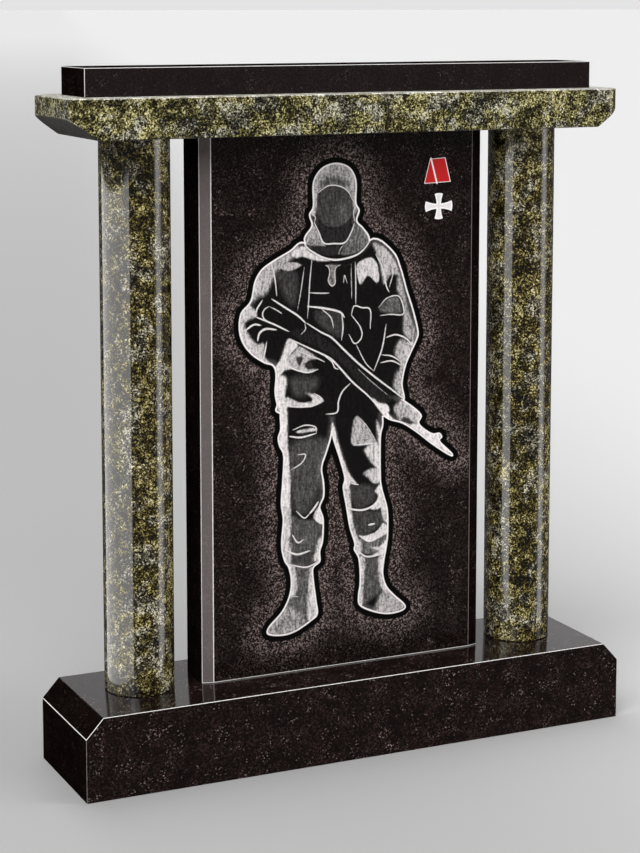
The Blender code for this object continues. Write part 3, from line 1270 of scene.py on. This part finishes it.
@dataclass
class Stele:
    """Upright slab whose front falls back at both upright edges and carries the picture."""

    bevel_width: float = 0.0205
    bevel_depth: float = 0.006
    arris: float = 0.0009
    foot_highlight: float = 0.0018
    columns: int = 24
    reaches: tuple[float, ...] = (46.0, 22.0, 10.0, 3.4)
    patch_margin: float = 2.0
    soldier: Soldier = field(default_factory=Soldier)
    decoration: Decoration = field(default_factory=Decoration)

    def build(self, finishes: Finishes) -> bpy.types.Object:
        """Model the stone, store the picture on its front and return its object."""
        low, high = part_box("stele")
        piece = Workpiece.block("stele_stone", low, high)
        piece.dress((finishes.polished, finishes.edge, finishes.honed, finishes.satin, finishes.etched))
        shoulder = Vector((high.x, low.y + self.bevel_depth, 0))
        piece.cut_ends(low, high, shoulder, Vector((self.bevel_depth, -self.bevel_width, 0)))
        piece.ease(self.arris)
        piece.assign(Skin.HONED, lambda middle, normal: abs(normal.x) > FLAT)
        self._finish_bevels(piece, low, high)
        self._refine(piece, low, high)
        self._draw(piece, low, high)
        return piece.hand_over(Slot.BLACK, "stele")

    def _finish_bevels(self, piece: Workpiece, low: Vector, high: Vector) -> None:
        """Give the two bevels and their edges a finish, with a painted sheen on the left bevel, and paint a
        highlight along the foot.
        """
        lean = self.bevel_depth / math.hypot(self.bevel_depth, self.bevel_width)
        outer = high.x - self.bevel_width / 2
        inner = high.x - self.bevel_width * 1.5
        foot = low.z + self.foot_highlight

        def is_left_bevel(middle: Vector, normal: Vector) -> bool:
            """Return whether a face is the sloping band on the left."""
            return normal.y < 0 and abs(normal.x + lean) < TILT

        def is_right_bevel(middle: Vector, normal: Vector) -> bool:
            """Return whether a face is the sloping band on the right."""
            return normal.y < 0 and abs(normal.x - lean) < TILT

        def is_hidden(middle: Vector, normal: Vector) -> bool:
            """Return whether an edge is the right bevel's outer one, at the rear or at the top."""
            return middle.x > outer or middle.y > 0 or middle.z > high.z - self.arris

        def is_inner(middle: Vector, normal: Vector) -> bool:
            """Return whether an edge is the right bevel's inner one."""
            return middle.x > inner and middle.z > low.z + self.arris

        def is_foot_highlight(middle: Vector, normal: Vector) -> bool:
            """Return whether a face belongs to the painted highlight along the front's foot."""
            return middle.z < foot and middle.y < low.y + self.bevel_depth

        # Painted sheen: the left bevel is grey satin and the right one stays dark, as the light falls on
        # them.
        piece.assign(Skin.SATIN, is_left_bevel, Skin.POLISHED)
        piece.assign(Skin.HONED, is_right_bevel, Skin.POLISHED)
        # Painted shade: the edges at the top under the lintel, at the rear and at the right end are honed
        # dark instead of pale.
        piece.assign(Skin.HONED, is_hidden, Skin.ARRIS)
        # Painted highlight: the right bevel's inner edge is a dim grey line.
        piece.assign(Skin.SATIN, is_inner, Skin.ARRIS)
        # Painted highlight: a pale strip on the front just above the foot.
        piece.split(Vector((0, 0, foot)), Vector((0, 0, 1)))
        piece.assign(Skin.ARRIS, is_foot_highlight)

    def _refine(self, piece: Workpiece, low: Vector, high: Vector) -> None:
        """Etch the front, and divide it into a grid that is fine only where the picture has edges."""
        piece.split((low + high) / 2, Vector((0, 0, 1)))
        front = low.y + HAIR
        foot = low.z + self.foot_highlight

        def is_front(middle: Vector, normal: Vector) -> bool:
            """Return whether a face belongs to the flat front above its painted foot highlight."""
            return normal.y < -FLAT and middle.y < front and middle.z > foot

        piece.assign(Skin.ETCHED, is_front)
        piece.pick_faces(is_front)
        bpy.ops.mesh.subdivide(number_cuts=self.columns - 1)
        for reach in self.reaches:
            mesh = piece.edit("FACE")
            faces = [
                face for face in mesh.faces
                if len(face.verts) == 4 and is_front(face.calc_center_median(), face.normal)
            ]
            middles = np.array([face.calc_center_median() for face in faces])
            near = self._nearness(self._millimetres(middles, low)) < reach
            for face, wanted in zip(faces, near):
                if wanted:
                    face.select_set(True)
            bmesh.update_edit_mesh(piece.thing.data)
            bpy.ops.mesh.subdivide(number_cuts=1)
        deselect()

    @staticmethod
    def _millimetres(places: np.ndarray, low: Vector) -> np.ndarray:
        """Return places on the face, in millimetres from its middle and its foot."""
        return np.column_stack([places[:, 0], places[:, 2] - low.z]) / MILLIMETRE

    def _nearness(self, places: np.ndarray) -> np.ndarray:
        """Return the distance of places from the nearest edge of the picture."""
        outline = np.abs(self.soldier.outline(places))
        lines = self.soldier.lines(places)
        ribbon = np.abs(self.decoration.ribbon_gaps(places))
        white = np.abs(self.decoration.white_gaps(places))
        patches = self.soldier.patches(places) + self.patch_margin
        return np.minimum.reduce([outline, lines, ribbon, white, patches])

    def _draw(self, piece: Workpiece, low: Vector, high: Vector) -> None:
        """Store the picture's distances and tones at the points of the mesh."""
        mesh = piece.thing.data
        places = np.zeros(len(mesh.vertices) * 3)
        mesh.vertices.foreach_get("co", places)
        own = self._millimetres(places.reshape(-1, 3), low)
        layers = {
            "outline_mm": self.soldier.outline(own),
            "line_mm": self.soldier.lines(own),
            "tone": self.soldier.tones(own),
            "ribbon_mm": self.decoration.ribbon_gaps(own),
            "medal_mm": self.decoration.white_gaps(own),
        }
        for name, numbers in layers.items():
            layer = mesh.attributes.new(name, "FLOAT", "POINT")
            layer.data.foreach_set("value", numbers.astype(np.float32))
        LOG.info("stele front: %d points, %d faces", len(mesh.vertices), len(mesh.polygons))


# Studio


@dataclass
class Studio:
    """Pale floor, soft light and the camera at the photograph's angle."""

    eye: tuple[float, float, float] = (-1.66456, -3.50060, 1.38291)
    yaw: float = math.radians(24.93)
    pitch: float = math.radians(6.855)
    lens: float = 89.19
    shift: float = -0.1985
    floor_half: float = 400.0
    sweep: float = math.radians(25.0)
    floor_tone: float = 0.355
    near_fall: float = 0.026
    near_span: Point = (-0.4, 1.5)
    right_rise: float = 0.224
    right_span: Point = (-0.2, 2.1)
    back_rise: float = 0.129
    back_span: Point = (1.5, 7.7)
    last_rise: float = 0.070
    last_span: Point = (20.0, 90.0)
    panel_x: float = -1.2
    panel_y: Point = (-1.04, 1.29)
    panel_z: Point = (-1.0, 0.99)
    panel_glow: float = 3.0
    power_to_glow: float = 4.0
    dim_glow: float = 0.10
    screen_glow: float = 3.8
    screen_start: float = 44.0
    screen_end: float = 60.0
    wall_glow: float = 0.62
    wall_look: tuple[float, float, float] = (0.42, 0.91, 0.0)
    backdrop_glow: float = 0.78
    contact_shade: float = 0.25
    contact_fall: float = 10.0
    contact_start: Point = (-0.11, -0.13)
    contact_end: Point = (0.62, 0.50)

    def build(self) -> None:
        """Set up the floor, the world, the lights and the camera."""
        self._camera()
        self._floor()
        self._world()
        self._panel()
        self._sun("key light", azimuth=-38, elevation=42, strength=3.6, angle=50)
        self._sun("top light", azimuth=60, elevation=85, strength=1.2, angle=70)
        bpy.context.scene.view_settings.view_transform = "Standard"

    def _camera(self) -> None:
        """Add the camera."""
        lens = bpy.data.cameras.new("camera")
        lens.lens = self.lens
        lens.sensor_width = 36.0
        lens.shift_y = self.shift
        lens.clip_end = 2000.0
        camera = bpy.data.objects.new("camera", lens)
        bpy.context.scene.collection.objects.link(camera)
        camera.location = self.eye
        camera.rotation_euler = (math.pi / 2 - self.pitch, 0, -self.yaw)
        bpy.context.scene.camera = camera

    def _sun(self, name: str, azimuth: float, elevation: float, strength: float, angle: float) -> None:
        """Add a soft light from far away, at an azimuth from the front and an elevation, in degrees."""
        light = bpy.data.lights.new(name, "SUN")
        light.energy = strength
        light.angle = math.radians(angle)
        lamp = bpy.data.objects.new(name, light)
        bpy.context.scene.collection.objects.link(lamp)
        lamp.rotation_euler = (math.radians(90 - elevation), 0, math.radians(azimuth))

    def _panel(self) -> None:
        """Add a tall panel of light on the left that shows only in the polish of the stones."""
        front, back = self.panel_y
        bottom, top = self.panel_z
        light = bpy.data.lights.new("left panel", "AREA")
        light.shape = "RECTANGLE"
        light.size = top - bottom
        light.size_y = back - front
        light.energy = self.power_to_glow * self.panel_glow * light.size * light.size_y
        lamp = bpy.data.objects.new("left panel", light)
        bpy.context.scene.collection.objects.link(lamp)
        lamp.location = (self.panel_x, (front + back) / 2, (bottom + top) / 2)
        lamp.rotation_euler = (0, math.radians(-90), 0)
        lamp.visible_camera = False
        lamp.visible_diffuse = False

    def _floor(self) -> None:
        """Add a pale floor with painted light, lighter towards the right and the back along directions
        fixed on the floor.
        """
        deselect()
        bpy.ops.mesh.primitive_grid_add(x_subdivisions=2, y_subdivisions=2, size=2 * self.floor_half)
        floor = bpy.context.object
        floor.name = "floor"
        material, graph = Graph.material("pale floor")
        place = graph.place()
        depth = self._along(graph, place, (math.sin(self.sweep), math.cos(self.sweep), 0))
        side = self._along(graph, place, (math.cos(self.sweep), -math.sin(self.sweep), 0))
        # Painted light: the floor's colour rises towards the right and the back, standing in for the fall
        # of the studio light.
        near = graph.fade(depth, *self.near_span)
        right = graph.fade(side + 0.125 * depth + 0.3 * (depth & 1.2), *self.right_span)
        far = graph.fade((depth | 0.0) ** 0.5, *self.back_span)
        last = graph.fade(depth, *self.last_span)
        back = (self.back_rise * far + self.last_rise * last) * (1.0 - right)
        shade = self.floor_tone - self.near_fall * near + self.right_rise * right + back
        # Painted shadow: the floor darkens along the foot of the object's front.
        shade = shade * self._painted_contact_shadow(graph, place)
        graph.surface(
            Base_Color=graph.node("ShaderNodeCombineColor", inputs={0: shade, 1: shade, 2: shade}),
            Roughness=0.9,
            Specular_IOR_Level=0.0,
        )
        floor.data.materials.append(material)
        floor.visible_glossy = False
        floor.visible_shadow = False

    def _painted_contact_shadow(self, graph: Graph, place: Value) -> Value:
        """Return a factor up to 1 that paints a contact shadow on the floor along the foot of the object's
        front.
        """
        across = self._along(graph, place, (1.0, 0.0, 0.0))
        back = self._along(graph, place, (0.0, 1.0, 0.0))
        near = math.e ** (((CAD_BOX[0][1] - back) | 0.0) * -self.contact_fall)
        before = graph.fade(back, *self.contact_start)
        beside = graph.fade(across | across * -1.0, *self.contact_end)
        return 1.0 - self.contact_shade * near * before * beside

    @staticmethod
    def _along(graph: Graph, place: Value, direction: tuple[float, float, float]) -> Value:
        """Return how far a place lies in a direction."""
        settings = {"operation": "DOT_PRODUCT"}
        return graph.node("ShaderNodeVectorMath", settings, {0: place, 1: direction}, "Value")

    def _beyond(self, graph: Graph, look: Value, azimuth: float, soft: float) -> Value:
        """Return 1 to the right of an azimuth, in degrees, with an edge that fades in there."""
        turn = math.radians(azimuth)
        return graph.fade(self._along(graph, look, (math.cos(turn), math.sin(turn), 0.0)), 0.0, soft)

    def _world(self) -> None:
        """Light the stones from a narrow screen on the right, a wall behind and a dim room."""
        world = bpy.data.worlds.new("studio")
        world.use_nodes = True
        bpy.context.scene.world = world
        graph = Graph(world.node_tree)
        look = graph.node("ShaderNodeTexCoord", output="Generated")
        screen = self._beyond(graph, look, self.screen_start, 0.20)
        screen = screen * (1.0 - self._beyond(graph, look, self.screen_end, 0.33))
        above = graph.fade(self._along(graph, look, (0.0, 0.0, 1.0)), -0.02, 0.04)
        wall = graph.fade(self._along(graph, look, self.wall_look), 0.70, 0.90) * above
        strength = self.dim_glow + self.screen_glow * screen + self.wall_glow * wall
        seen = graph.node("ShaderNodeLightPath", output="Is Camera Ray")
        strength = strength + seen * (self.backdrop_glow - strength)
        background = world.node_tree.nodes["Background"]
        graph.feed(background.inputs["Strength"], strength)
        background.inputs["Color"].default_value = (1.0, 0.99, 1.0, 1.0)


def main() -> None:
    """Build the memorial and its studio, and report each piece."""
    logging.basicConfig(level=logging.INFO, format="%(name)s: %(message)s")
    Studio().build()
    finishes = Finishes.make()
    stones = (Base(), Column("left_column"), Column("right_column"), Stele(), Lintel(), Cap())
    for stone in stones:
        piece = stone.build(finishes)
        LOG.info("%s: %d faces", piece.name, len(piece.data.polygons))


if __name__ == "__main__":
    main()
